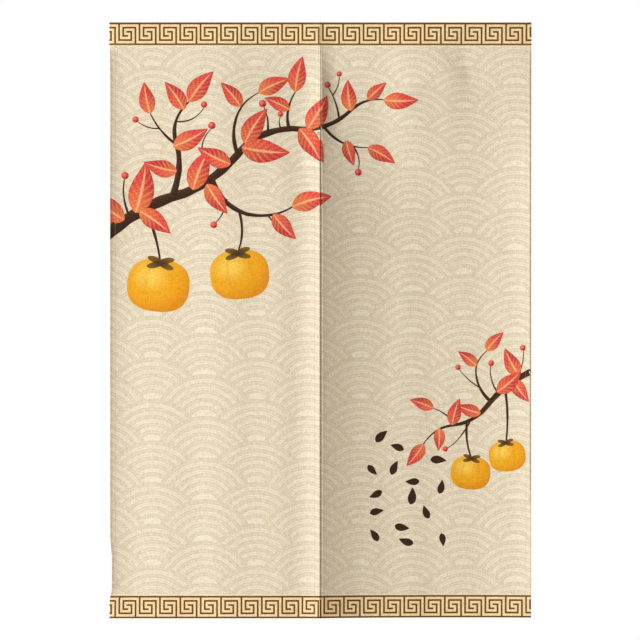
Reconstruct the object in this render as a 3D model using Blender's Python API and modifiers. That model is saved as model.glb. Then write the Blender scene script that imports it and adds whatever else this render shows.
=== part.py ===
# Split door curtain: two cloth panels, lapped and sewn together at the top, free of each other below.
# Metres, +Z up. The origin is the middle of the top edge, the printed front faces -Y, and +X is to
# the right of a viewer who stands in front. "across" runs from the curtain's left edge to its right
# edge along the flat cloth, "down" runs from the top edge, and a positive depth lies further back.
from collections import namedtuple

import bmesh
import bpy
import numpy as np

# Driving sizes of the flat cloth
WIDTH = 0.850
HEIGHT = 1.200
MIDDLE = WIDTH / 2
LAP = 0.008             # the right panel runs this far behind the left panel's inner edge
SEAM_LENGTH = 0.224     # the lap is sewn from the top edge down to here, where the slit begins

# Hems, turned to the back, and the thickness of the cloth there and between them
TOP_HEM = 0.046
BOTTOM_HEM = 0.030
SIDE_HEM = 0.012
HEM_STEP = 0.001        # the hem's raw edge slopes off over this width
CLOTH_THICKNESS = 0.0012
HEM_THICKNESS = 0.0024

# The slit: clearance between the left panel's back and the right panel's front
SEWN_CLEARANCE = 0.0004
OPEN_CLEARANCE = 0.0010
SLIT_OPENS_OVER = 0.160

# How freely the cloth folds: little along the top edge, fully from FREE_FROM down
TOP_FREEDOM = 0.20
FREE_FROM = 0.150
HEM_RELEASE = 0.035     # an edge curls fully at this distance from a stiff top or bottom hem

# The left panel's outer hem is drawn in by its stitching, most of all close above the bottom hem
DRAW_REACH = 0.120
DRAW_HIGH = 0.0008
DRAW_LOW = 0.0044
DRAW_CHANGE_FROM = 1.030
DRAW_CHANGE_TO = 1.085

# Folds across a panel, each a bell-shaped ridge (negative depth) or trough (positive depth).
# The depth changes from "high" above "change_from" to "low" below "change_to".
Fold = namedtuple("Fold", "middle left_reach right_reach high low change_from change_to")
LEFT_FOLDS = (
    Fold(0.115, 0.065, 0.080, 0.0006, -0.0010, 0.30, 0.90),
    Fold(0.225, 0.080, 0.080, -0.0008, -0.0016, 0.20, 0.70),
    Fold(0.392, 0.185, 0.105, 0.0070, 0.0000, 0.12, 0.38),
    Fold(0.394, 0.062, 0.062, 0.0004, 0.0022, 0.12, 0.40),
)
RIGHT_FOLDS = (
    Fold(0.452, 0.032, 0.040, 0.0008, 0.0000, 0.12, 0.34),
    Fold(0.612, 0.070, 0.060, -0.0030, -0.0008, 0.14, 0.42),
    Fold(0.742, 0.076, 0.090, 0.0042, 0.0014, 0.10, 0.30),
    Fold(0.602, 0.052, 0.050, 0.0000, -0.0012, 0.40, 0.80),
    Fold(0.670, 0.060, 0.060, 0.0000, 0.0014, 0.50, 0.95),
)

# Edges that turn back (positive depth) or forward (negative): the depth falls off with the square
# of the distance from the edge. Reach and depth change from "high" to "low" as for a fold, and the
# stiff top and bottom hems hold a curl flat.
Turn = namedtuple("Turn", "edge reach_high reach_low high low change_from change_to curl")
LEFT_TURNS = (
    Turn(0.0, 0.040, 0.050, -0.0028, -0.0036, 0.06, 0.40, True),
    Turn(0.0, 0.012, 0.014, -0.0018, -0.0022, 0.06, 0.40, True),
    Turn(MIDDLE, 0.035, 0.055, -0.0028, -0.0036, 0.09, 0.40, False),
)
RIGHT_TURNS = (
    Turn(MIDDLE, 0.036, 0.085, -0.0060, -0.0042, 0.09, 0.36, False),
    Turn(MIDDLE, 0.120, 0.250, -0.0066, -0.0285, 0.10, 0.42, False),
    Turn(WIDTH, 0.060, 0.115, -0.0018, -0.0056, 0.06, 0.45, False),
    Turn(WIDTH, 0.036, 0.040, -0.0014, -0.0024, 0.05, 0.35, True),
)

# Rows and columns of the cloth's grid: up to "end", in equal steps no longer than "step"
Stretch = namedtuple("Stretch", "end step")
DOWN = (
    Stretch(TOP_HEM, 0.024),
    Stretch(TOP_HEM + HEM_STEP, HEM_STEP),
    Stretch(0.300, 0.023),
    Stretch(HEIGHT - 0.100, 0.055),
    Stretch(HEIGHT - BOTTOM_HEM - HEM_STEP, 0.024),
    Stretch(HEIGHT - BOTTOM_HEM, HEM_STEP),
    Stretch(HEIGHT, 0.016),
)
LEFT_ACROSS = (
    Stretch(SIDE_HEM, 0.003),
    Stretch(SIDE_HEM + HEM_STEP, HEM_STEP),
    Stretch(0.048, 0.009),
    Stretch(0.200, 0.031),
    Stretch(0.310, 0.023),
    Stretch(MIDDLE - SIDE_HEM - HEM_STEP, 0.0115),
    Stretch(MIDDLE - SIDE_HEM, HEM_STEP),
    Stretch(MIDDLE, 0.006),
)
RIGHT_ACROSS = (
    Stretch(MIDDLE - LAP + SIDE_HEM, 0.006),
    Stretch(MIDDLE - LAP + SIDE_HEM + HEM_STEP, HEM_STEP),
    Stretch(0.490, 0.010),
    Stretch(0.800, 0.0185),
    Stretch(WIDTH - SIDE_HEM - HEM_STEP, 0.019),
    Stretch(WIDTH - SIDE_HEM, HEM_STEP),
    Stretch(WIDTH, 0.004),
)


def smooth(value, start, end):
    # 0 before start, 1 after end, with a level beginning and end
    t = np.clip((value - start) / (end - start), 0.0, 1.0)
    return t * t * (3.0 - 2.0 * t)


def stations(start, stretches):
    points = np.array([start])
    for stretch in stretches:
        steps = int(np.ceil((stretch.end - points[-1]) / stretch.step - 1e-6))
        points = np.append(points, np.linspace(points[-1], stretch.end, steps + 1)[1:])
    return points


def freedom(down):
    return TOP_FREEDOM + (1.0 - TOP_FREEDOM) * smooth(down, 0.0, FREE_FROM)


def curl_freedom(down):
    below_top = smooth(down, TOP_HEM, TOP_HEM + HEM_RELEASE)
    above_bottom = smooth(HEIGHT - down, BOTTOM_HEM, BOTTOM_HEM + HEM_RELEASE)
    return below_top * above_bottom


def fold_depth(folds, across, down):
    # Each fold adds depth * (1 + cos(pi * t)) / 2, where t is the distance over the reach
    total = np.zeros_like(across * down)
    for fold in folds:
        reach = np.where(across < fold.middle, fold.left_reach, fold.right_reach)
        t = np.clip(np.abs(across - fold.middle) / reach, 0.0, 1.0)
        change = smooth(down, fold.change_from, fold.change_to)
        depth = fold.high + (fold.low - fold.high) * change
        total += depth * freedom(down) * (1.0 + np.cos(np.pi * t)) / 2.0
    return total


def turn_depth(turns, across, down):
    # Each turn adds depth * (1 - t)^2, where t is the distance from its edge over the reach
    total = np.zeros_like(across * down)
    for turn in turns:
        change = smooth(down, turn.change_from, turn.change_to)
        reach = turn.reach_high + (turn.reach_low - turn.reach_high) * change
        depth = turn.high + (turn.low - turn.high) * change
        held = curl_freedom(down) if turn.curl else freedom(down)
        t = np.clip(np.abs(across - turn.edge) / reach, 0.0, 1.0)
        total += depth * held * (1.0 - t) ** 2
    return total


def left_depth(across, down):
    return fold_depth(LEFT_FOLDS, across, down) + turn_depth(LEFT_TURNS, across, down)


def right_depth(across, down):
    # Under the lap the right panel follows the left panel's back, a hem and a clearance behind its
    # front, and past the left panel's edge its own folds begin
    def shape(at):
        return fold_depth(RIGHT_FOLDS, at, down) + turn_depth(RIGHT_TURNS, at, down)

    opening = smooth(down, SEAM_LENGTH, SEAM_LENGTH + SLIT_OPENS_OVER)
    clearance = SEWN_CLEARANCE + (OPEN_CLEARANCE - SEWN_CLEARANCE) * opening
    behind = left_depth(np.minimum(across, MIDDLE), down) + HEM_THICKNESS + clearance
    return shape(np.maximum(across, MIDDLE)) - shape(np.full_like(across, MIDDLE)) + behind


def hang(across, depth):
    # Neighbouring columns stay as far apart as on the flat cloth, counted from the last column,
    # which keeps its flat place, so a fold draws the rest of the panel in
    flat_step = np.diff(across, axis=1)
    level_step = np.sqrt(flat_step**2 - np.diff(depth, axis=1) ** 2)
    from_last = np.cumsum(level_step[:, ::-1], axis=1)[:, ::-1]
    from_last = np.concatenate([from_last, np.zeros((len(across), 1))], axis=1)
    return across[:, -1:] - MIDDLE - from_last


def outer_draw(across, down):
    amount = DRAW_HIGH + (DRAW_LOW - DRAW_HIGH) * smooth(down, DRAW_CHANGE_FROM, DRAW_CHANGE_TO)
    return amount * curl_freedom(down) * np.clip(1.0 - across / DRAW_REACH, 0.0, 1.0) ** 2


def cloth_material(name, colour):
    material = bpy.data.materials.new(name)
    material.use_nodes = True
    shader = material.node_tree.nodes["Principled BSDF"]
    shader.inputs["Base Color"].default_value = (*colour, 1.0)
    shader.inputs["Roughness"].default_value = 0.85
    shader.inputs["Metallic"].default_value = 0.0
    material.diffuse_color = (*colour, 1.0)
    return material


def build_panel(name, start, stretches, depth_at, colour, collection):
    columns = stations(start, stretches)
    rows = stations(0.0, DOWN)
    across, down = np.meshgrid(columns, rows)
    depth = depth_at(across, down)
    level = hang(across, depth) + outer_draw(across, down)

    # A flat grid, whose points are then set to the hanging cloth's front face
    sheet = bmesh.new()
    bmesh.ops.create_grid(sheet, x_segments=len(columns) - 1, y_segments=len(rows) - 1, size=1.0)
    in_hem = []
    for vertex in sheet.verts:
        column = round((vertex.co.x + 1.0) / 2.0 * (len(columns) - 1))
        row = round((1.0 - vertex.co.y) / 2.0 * (len(rows) - 1))
        vertex.co = (level[row, column], depth[row, column], -rows[row])
        from_side = min(columns[column] - columns[0], columns[-1] - columns[column])
        if rows[row] <= TOP_HEM or rows[row] >= HEIGHT - BOTTOM_HEM or from_side <= SIDE_HEM + 1e-6:
            in_hem.append(vertex.index)
    mesh = bpy.data.meshes.new(name)
    sheet.to_mesh(mesh)
    sheet.free()
    mesh.materials.append(cloth_material(name + "_cloth", colour))
    mesh.shade_smooth()

    panel = bpy.data.objects.new(name, mesh)
    collection.objects.link(panel)
    hems = panel.vertex_groups.new(name="hems")
    hems.add(in_hem, 1.0, "REPLACE")

    # The thickness goes to the back, and the hems are two layers thick
    layers = panel.modifiers.new("cloth layers", "SOLIDIFY")
    layers.thickness = HEM_THICKNESS
    layers.offset = -1.0
    layers.vertex_group = hems.name
    layers.thickness_vertex_group = CLOTH_THICKNESS / HEM_THICKNESS
    return panel


def main():
    for old in list(bpy.data.objects):
        bpy.data.objects.remove(old, do_unlink=True)
    collection = bpy.data.collections.new("split_door_curtain")
    bpy.context.scene.collection.children.link(collection)
    build_panel("left_panel", 0.0, LEFT_ACROSS, left_depth, (0.78, 0.70, 0.52), collection)
    build_panel("right_panel", MIDDLE - LAP, RIGHT_ACROSS, right_depth, (0.68, 0.60, 0.43), collection)


main()
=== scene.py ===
import math
from collections import namedtuple

import bmesh
import bpy
import numpy as np
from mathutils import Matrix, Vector


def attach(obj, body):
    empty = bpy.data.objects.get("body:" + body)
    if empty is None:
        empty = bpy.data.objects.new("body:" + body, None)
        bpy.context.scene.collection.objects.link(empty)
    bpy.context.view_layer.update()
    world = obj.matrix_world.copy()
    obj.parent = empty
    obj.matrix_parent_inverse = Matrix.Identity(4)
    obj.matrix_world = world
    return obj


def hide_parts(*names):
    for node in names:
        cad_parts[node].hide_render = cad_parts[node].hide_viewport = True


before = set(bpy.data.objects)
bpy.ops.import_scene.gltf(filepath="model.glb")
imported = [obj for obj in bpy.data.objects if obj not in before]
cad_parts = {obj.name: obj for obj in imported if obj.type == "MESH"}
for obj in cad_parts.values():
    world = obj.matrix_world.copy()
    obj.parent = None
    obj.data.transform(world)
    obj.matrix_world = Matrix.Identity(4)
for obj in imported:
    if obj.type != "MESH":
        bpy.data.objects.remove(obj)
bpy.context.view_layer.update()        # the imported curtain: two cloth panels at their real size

print("loaded the two panels of the curtain")

# Flat cloth in metres: "across" runs from the curtain's left edge to its right edge, "down" from the
# top edge. Depth is counted from the plane of the top edge, positive towards the back.
curtain = dict(
    width=0.850,
    height=1.200,
    middle=0.425,
    lap=0.008,              # the right panel runs this far behind the left one
    seamLength=0.224,       # the lap is sewn down to here, where the slit begins
    topHem=0.046,
    bottomHem=0.030,
    sideHem=0.012,
    hemStep=0.0008,         # the width over which a hem's inner fold rises
    clothThickness=0.0006,
    hemThickness=0.0011,
    pressedLap=0.00035,     # the lap is pressed this thin along the top edge
    pressedTo=0.150,        # and reaches the hem's thickness at the slit, from this far down
    sewnGap=0.00015,
    openGap=0.0010,
    slitOpensOver=0.160,
    topFreedom=0.20,        # share of each fold that shows along the top edge
    freeFrom=0.150,
    hemRelease=0.035,
    drawReach=0.120,        # the left edge is drawn in by its stitching over this width
    drawHigh=0.0008,
    drawLow=0.0044,         # this much close above the bottom hem
    drawFrom=1.030,
    drawTo=1.085,
    innerDraw=0.0011,       # the left panel's inner hem is drawn in too, from the slit's start down
    innerReach=0.080,
    innerAbove=0.020,       # that begins this far above the slit's start
    innerBelow=0.030,       # and is full this far below it
    lapEase=0.006,          # the left panel thins towards the pressed lap over this width
    smallFrom=0.020,        # the right panel's creases and puckers grow over this width past the lap
)

# Ridges (negative depth) and troughs (positive depth) from top to bottom. Each has a middle and two
# reaches across, and a depth that goes from "high" to "low" between two distances from the top.
Fold = namedtuple("Fold", "middle leftReach rightReach high low changeFrom changeTo")
leftFolds = (
    Fold(0.115, 0.065, 0.080, 0.0006, -0.0010, 0.30, 0.90),
    Fold(0.225, 0.080, 0.080, -0.0008, -0.0016, 0.20, 0.70),
    Fold(0.392, 0.185, 0.105, 0.0070, 0.0000, 0.12, 0.38),
    Fold(0.394, 0.062, 0.062, 0.0004, 0.0022, 0.12, 0.40),
)
rightFolds = (
    Fold(0.452, 0.032, 0.040, 0.0008, 0.0000, 0.12, 0.34),
    Fold(0.612, 0.070, 0.060, -0.0030, -0.0008, 0.14, 0.42),
    Fold(0.742, 0.076, 0.090, 0.0042, 0.0014, 0.10, 0.30),
    Fold(0.602, 0.052, 0.050, 0.0000, -0.0005, 0.40, 0.80),
    Fold(0.670, 0.060, 0.060, 0.0000, 0.0003, 0.50, 0.95),
)

# Edges that turn to the front (negative) or to the back (positive). A curl is held flat by the hems.
Turn = namedtuple("Turn", "edge reachHigh reachLow high low changeFrom changeTo curl")
leftTurns = (
    Turn(0.0, 0.040, 0.050, -0.0028, -0.0036, 0.06, 0.40, True),
    Turn(0.0, 0.008, 0.009, -0.0009, -0.0010, 0.06, 0.40, True),
    Turn(0.425, 0.035, 0.055, -0.0028, -0.0036, 0.09, 0.40, False),
)
rightTurns = (
    Turn(0.425, 0.036, 0.085, -0.0060, -0.0042, 0.09, 0.36, False),
    Turn(0.425, 0.120, 0.250, -0.0066, -0.0285, 0.10, 0.42, False),
    Turn(0.850, 0.060, 0.115, -0.0018, -0.0056, 0.06, 0.45, False),
    Turn(0.850, 0.036, 0.040, -0.0014, -0.0024, 0.05, 0.35, True),
    Turn(0.425, 0.060, 0.060, 0.0004, 0.0012, 0.12, 0.36, False),
    Turn(0.850, 0.170, 0.170, 0.0060, 0.0000, 0.08, 0.28, False),
    Turn(0.850, 0.0030, 0.0030, 0.0015, 0.0002, 0.90, 1.00, True),
)

# Faint creases of the hanging cloth, each a soft line with a lean from upright in degrees
Crease = namedtuple("Crease", "across down lean halfLength halfWidth depth")
leftCreases = (
    Crease(0.060, 0.120, 14, 0.090, 0.010, 0.00030),
    Crease(0.150, 0.160, -6, 0.120, 0.014, -0.00025),
    Crease(0.385, 0.260, 11, 0.070, 0.009, 0.00030),
    Crease(0.345, 0.300, 18, 0.080, 0.012, -0.00025),
    Crease(0.095, 0.640, 4, 0.180, 0.018, 0.00030),
    Crease(0.260, 0.760, -5, 0.200, 0.016, -0.00030),
    Crease(0.180, 1.020, 7, 0.140, 0.014, 0.00030),
    Crease(0.330, 1.080, -9, 0.110, 0.012, 0.00025),
)
rightCreases = (
    Crease(0.666, 0.087, 3, 0.032, 0.045, -0.00250),
    Crease(0.699, 0.068, 29, 0.024, 0.043, 0.00150),
    Crease(0.720, 0.092, 11, 0.032, 0.013, 0.00080),
    Crease(0.624, 0.183, -5, 0.100, 0.025, 0.00100),
    Crease(0.470, 0.240, -12, 0.080, 0.010, -0.00030),
    Crease(0.530, 0.150, 9, 0.090, 0.012, 0.00025),
    Crease(0.760, 0.130, -10, 0.080, 0.011, -0.00030),
    Crease(0.800, 0.420, 6, 0.160, 0.014, 0.00030),
    Crease(0.590, 0.620, -4, 0.190, 0.018, -0.00035),
    Crease(0.710, 0.820, 5, 0.180, 0.016, 0.00030),
    Crease(0.515, 1.010, -6, 0.150, 0.014, 0.00030),
    Crease(0.780, 1.090, 8, 0.100, 0.012, -0.00030),
)


def ease(value, start, end):
    # 0 before start and 1 after end, by 3t^2 - 2t^3 in between
    t = np.clip((value - start) / (end - start), 0.0, 1.0)
    return t * t * (3.0 - 2.0 * t)


def freedom(down):
    # the share of a fold that shows grows from the stiff top edge down
    return curtain["topFreedom"] + (1.0 - curtain["topFreedom"]) * ease(down, 0.0, curtain["freeFrom"])


def curlFreedom(down):
    # a curl is flat on the top and bottom hems and free a little away from them
    release = curtain["hemRelease"]
    belowTop = ease(down, curtain["topHem"], curtain["topHem"] + release)
    aboveBottom = ease(curtain["height"] - down, curtain["bottomHem"], curtain["bottomHem"] + release)
    return belowTop * aboveBottom


def foldDepth(folds, across, down):
    # sum of depth * (1 + cos(pi * t)) / 2, where t is the distance from the middle over the reach
    total = np.zeros(np.broadcast(across, down).shape)
    for fold in folds:
        reach = np.where(across < fold.middle, fold.leftReach, fold.rightReach)
        t = np.clip(np.abs(across - fold.middle) / reach, 0.0, 1.0)
        depth = fold.high + (fold.low - fold.high) * ease(down, fold.changeFrom, fold.changeTo)
        total = total + depth * freedom(down) * (1.0 + np.cos(np.pi * t)) / 2.0
    return total


def turnDepth(turns, across, down):
    # sum of depth * (1 - t)^2, where t is the distance from the turned edge over the reach
    total = np.zeros(np.broadcast(across, down).shape)
    for turn in turns:
        change = ease(down, turn.changeFrom, turn.changeTo)
        reach = turn.reachHigh + (turn.reachLow - turn.reachHigh) * change
        depth = turn.high + (turn.low - turn.high) * change
        held = curlFreedom(down) if turn.curl else freedom(down)
        t = np.clip(np.abs(across - turn.edge) / reach, 0.0, 1.0)
        total = total + depth * held * (1.0 - t) ** 2
    return total


def creaseDepth(creases, across, down):
    # each crease is a bell e^-(a/w)^2 across its line, and fades by e^-(b/l)^4 towards its ends
    total = np.zeros(np.broadcast(across, down).shape)
    for crease in creases:
        lean = math.radians(crease.lean)
        sideways = across - crease.across
        below = down - crease.down
        along = below * math.cos(lean) + sideways * math.sin(lean)
        away = sideways * math.cos(lean) - below * math.sin(lean)
        bell = np.exp(-((away / crease.halfWidth) ** 2) - (along / crease.halfLength) ** 4)
        total = total + crease.depth * bell
    return total


# The sewing gathers the cloth a little, in small waves along the side and end seams
puckers = dict(
    sideDepth=0.00022,
    endDepth=0.00007,
    spacing=0.019,
    reach=0.007,
    driftLength=0.113,      # the pitch drifts over this length
    drift=1.3,
    sizeLength=0.231,       # and the size over this one
    size=0.6,
    sizeDrift=0.4,
    leftPanel=0.4,          # phases, so that no two seams are alike
    rightPanel=1.9,
    seams=(0.0, 1.7, 0.6, 2.4),
)


def puckerWave(along, phase):
    # a sine whose pitch and size drift along the seam
    drift = puckers["drift"] * np.sin(2 * np.pi * along / puckers["driftLength"] + phase)
    change = np.sin(2 * np.pi * along / puckers["sizeLength"] + 2.1 * phase)
    size = puckers["size"] + puckers["sizeDrift"] * change
    return size * np.sin(2 * np.pi * along / puckers["spacing"] + drift)


def puckerDepth(across, down, start, end, phase):
    # the waves stand on the seams and fade by e^-(a/r)^2 on both sides of them
    total = np.zeros(np.broadcast(across, down).shape)
    left, right, top, bottom = (phase + seam for seam in puckers["seams"])
    for fromEdge, seamPhase in ((across - start, left), (end - across, right)):
        fade = np.exp(-(((fromEdge - curtain["sideHem"]) / puckers["reach"]) ** 2))
        total = total + puckers["sideDepth"] * fade * puckerWave(down, seamPhase) * curlFreedom(down)
    ends = ((down, curtain["topHem"], top), (curtain["height"] - down, curtain["bottomHem"], bottom))
    for fromEdge, hem, seamPhase in ends:
        fade = np.exp(-(((fromEdge - hem) / puckers["reach"]) ** 2))
        total = total + puckers["endDepth"] * fade * puckerWave(across, seamPhase)
    return total


def leftMainDepth(across, down):
    # the main folds and turned edges alone, which the right panel follows under the lap
    return foldDepth(leftFolds, across, down) + turnDepth(leftTurns, across, down)


def leftDepth(across, down):
    # the main folds and turned edges, with the creases and puckers added
    small = creaseDepth(leftCreases, across, down)
    small = small + puckerDepth(across, down, 0.0, curtain["middle"], puckers["leftPanel"])
    return leftMainDepth(across, down) + small


def lapThickness(down):
    # the left panel's thickness along the lap
    change = ease(down, curtain["pressedTo"], curtain["seamLength"])
    return curtain["pressedLap"] + (curtain["hemThickness"] - curtain["pressedLap"]) * change


def rightDepth(across, down):
    # under the lap the right panel follows the left one's back, and its own folds begin past it
    middle = curtain["middle"]
    opening = ease(down, curtain["seamLength"], curtain["seamLength"] + curtain["slitOpensOver"])
    gap = curtain["sewnGap"] + (curtain["openGap"] - curtain["sewnGap"]) * opening
    behind = leftMainDepth(np.minimum(across, middle), down) + lapThickness(down) + gap
    past = np.maximum(across, middle)
    own = foldDepth(rightFolds, past, down) + turnDepth(rightTurns, past, down)
    atMiddle = np.full_like(past, middle)
    atEdge = foldDepth(rightFolds, atMiddle, down) + turnDepth(rightTurns, atMiddle, down)
    small = creaseDepth(rightCreases, across, down)
    start = middle - curtain["lap"]
    small = small + puckerDepth(across, down, start, curtain["width"], puckers["rightPanel"])
    return own - atEdge + behind + small * ease(across, middle, middle + curtain["smallFrom"])


shiftGrid = dict(columns=221, rows=241)


def shiftTable(start, end, depthAt, isDrawn):
    # How far the folds and the drawn-in hem move each place sideways. Neighbouring places keep their
    # distance along the cloth, counted from the panel's last edge, which keeps its own place.
    across = np.linspace(start, end, shiftGrid["columns"])
    down = np.linspace(0.0, curtain["height"], shiftGrid["rows"])
    flatAcross, flatDown = np.meshgrid(across, down)
    depth = depthAt(flatAcross, flatDown)
    level = np.sqrt(np.diff(flatAcross, axis=1) ** 2 - np.diff(depth, axis=1) ** 2)
    fromLast = np.cumsum(level[:, ::-1], axis=1)[:, ::-1]
    fromLast = np.concatenate([fromLast, np.zeros((len(down), 1))], axis=1)
    shift = (end - flatAcross) - fromLast
    if isDrawn:
        change = ease(flatDown, curtain["drawFrom"], curtain["drawTo"])
        amount = curtain["drawHigh"] + (curtain["drawLow"] - curtain["drawHigh"]) * change
        fade = np.clip(1.0 - flatAcross / curtain["drawReach"], 0.0, 1.0) ** 2
        shift = shift + amount * curlFreedom(flatDown) * fade
        fade = np.clip(1.0 - (end - flatAcross) / curtain["innerReach"], 0.0, 1.0) ** 2
        slitStart = curtain["seamLength"]
        below = ease(flatDown, slitStart - curtain["innerAbove"], slitStart + curtain["innerBelow"])
        shift = shift - curtain["innerDraw"] * below * fade
    return dict(across=across, down=down, shift=shift)


def shiftAt(table, across, down):
    # linear in both directions between the table's places
    columns, rows, shift = table["across"], table["down"], table["shift"]
    column = np.clip((across - columns[0]) / (columns[1] - columns[0]), 0, len(columns) - 1.001)
    row = np.clip((down - rows[0]) / (rows[1] - rows[0]), 0, len(rows) - 1.001)
    i, j = row.astype(int), column.astype(int)
    u, v = column - j, row - i
    upper = shift[i, j] * (1 - u) + shift[i, j + 1] * u
    lower = shift[i + 1, j] * (1 - u) + shift[i + 1, j + 1] * u
    return upper * (1 - v) + lower * v


panels = dict(
    left=dict(start=0.0, end=curtain["middle"], depthAt=leftDepth, node="left_panel", slot="left_cloth"),
    right=dict(start=curtain["middle"] - curtain["lap"], end=curtain["width"], depthAt=rightDepth,
               node="right_panel", slot="right_cloth"),
)
for side, panel in panels.items():
    panel["shifts"] = shiftTable(panel["start"], panel["end"], panel["depthAt"], side == "left")


def hang(side, across, down, lift):
    # A place on the flat cloth goes to the hanging face, then "lift" in front of it along its normal,
    # which is (slope across, -1, -slope down) made one long.
    depthAt = panels[side]["depthAt"]
    near = 0.0004
    depth = depthAt(across, down)
    slopeAcross = (depthAt(across + near, down) - depthAt(across - near, down)) / (2 * near)
    slopeDown = (depthAt(across, down + near) - depthAt(across, down - near)) / (2 * near)
    normal = np.stack([slopeAcross, -np.ones_like(depth), -slopeDown], axis=-1)
    normal /= np.linalg.norm(normal, axis=-1, keepdims=True)
    sideways = across - curtain["middle"] + shiftAt(panels[side]["shifts"], across, down)
    face = np.stack([sideways, depth, -down], axis=-1)
    return face + normal * np.broadcast_to(lift, depth.shape)[..., None]


def edgeDistances(side, across, down):
    # distances from a place to the panel's four edges: left, right, top and bottom
    panel = panels[side]
    return across - panel["start"], panel["end"] - across, down, curtain["height"] - down


def hemShare(side, across, down):
    # 1 on a hem and 0 on single cloth, with the hem's inner fold in between
    hems = (curtain["sideHem"], curtain["sideHem"], curtain["topHem"], curtain["bottomHem"])
    share = np.zeros(np.broadcast(across, down).shape)
    for distance, hem in zip(edgeDistances(side, across, down), hems):
        share = np.maximum(share, 1.0 - ease(distance, hem, hem + curtain["hemStep"]))
    return share


def clothLifts(side, across, down):
    # Lift of the front and back faces. A hem's outer fold is round: with t the distance from the edge
    # over half the hem's thickness, the faces close in by 1 - sqrt(1 - (1 - t)^2) to meet at the edge.
    share = hemShare(side, across, down)
    thickness = curtain["clothThickness"] + (curtain["hemThickness"] - curtain["clothThickness"]) * share
    if side == "left":
        lapStart = curtain["middle"] - curtain["lap"]
        lapShare = ease(across, lapStart - curtain["lapEase"], lapStart)
        thickness = thickness + (np.minimum(thickness, lapThickness(down)) - thickness) * lapShare
    half = curtain["hemThickness"] / 2
    roundness = np.ones_like(thickness)
    for distance in edgeDistances(side, across, down):
        t = np.clip(distance / half, 0.0, 1.0)
        roundness = np.minimum(roundness, np.sqrt(1.0 - (1.0 - t) ** 2))
    front = -(thickness / 2) * (1.0 - roundness)
    back = -thickness + (thickness / 2) * (1.0 - roundness)
    return front, back


# Materials: a function turns a colour to linear, and another adds a node


def linearColour(hexCode):
    # sRGB hex to linear, with the curve of the sRGB standard
    values = [int(hexCode[i : i + 2], 16) / 255.0 for i in (1, 3, 5)]
    linear = [v / 12.92 if v <= 0.04045 else ((v + 0.055) / 1.055) ** 2.4 for v in values]
    return (*linear, 1.0)


def addNode(tree, kind, inputs=(), output=0, **settings):
    # inputs go by the node's own order or by name: a socket is linked, and a value is set
    node = tree.nodes.new("ShaderNode" + kind)
    for setting, value in settings.items():
        setattr(node, setting, value)
    for key, value in inputs.items() if isinstance(inputs, dict) else enumerate(inputs):
        if isinstance(value, bpy.types.NodeSocket):
            tree.links.new(value, node.inputs[key])
        elif value is not None:
            node.inputs[key].default_value = value
    return node.outputs[output] if len(node.outputs) else node


def emptyTree(block):
    # a material's or a world's nodes, cleared
    block.use_nodes = True
    block.node_tree.nodes.clear()
    return block.node_tree


# The print: pale waves on a beige ground, with a key fret along the top and the bottom
waves = dict(
    firstColumn=0.0867,     # middle of the first column of fans
    columnSpacing=0.1045,
    radius=0.1045,          # a fan reaches the middles of the columns beside it
    rowSpacing=0.0838,
    firstCentre=0.0246,     # a fan's centre in the first column, from the top edge
    stagger=0.0342,         # every other column hangs this much lower
    margin=0.0093,          # beige rim around each fan
    ringSpacing=0.0156,
    ringWidth=0.0068,
    discFrom=0.0718,        # the pale disc begins this far inside the fan's rim
    hairline=0.0008,        # half the width of the fine line along the middle of each ring
    hairTone=0.72,          # the line takes this share of the pale colour away
    groundHair=0.432,       # and a like line on the ground adds this share of it
    blur=0.0006,
    ground="#E1D2B6",
    pale="#EEE3CB",
)
border = dict(
    topFirst=0.0028,        # middle of the first line of the top border
    bottomFirst=1.1565,
    rowSpacing=0.00836,
    unitWidth=0.0410,       # one key with the gap after it
    columns=5,              # of strokes in that width
    rows=5,                 # spacings from the first line to the last one
    firstBar=0.0198,
    stroke=0.0036,
    edging=0.0030,          # plain strip between the border and the waves
    line="#6C430F",
    ground="#F8DCA9",
    edgingColour="#F3E0BD",
)

# Strokes of one key, in columns and rows. Its two arms hook into each other between rows 0 and 5.
Stroke = namedtuple("Stroke", "left top right bottom")
keyStrokes = (
    Stroke(0, 0, 0, 4),
    Stroke(0, 4, 3, 4),
    Stroke(3, 2, 3, 4),
    Stroke(2, 2, 3, 2),
    Stroke(4, 1, 4, 5),
    Stroke(1, 1, 4, 1),
    Stroke(1, 1, 1, 3),
    Stroke(1, 3, 2, 3),
)


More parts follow.
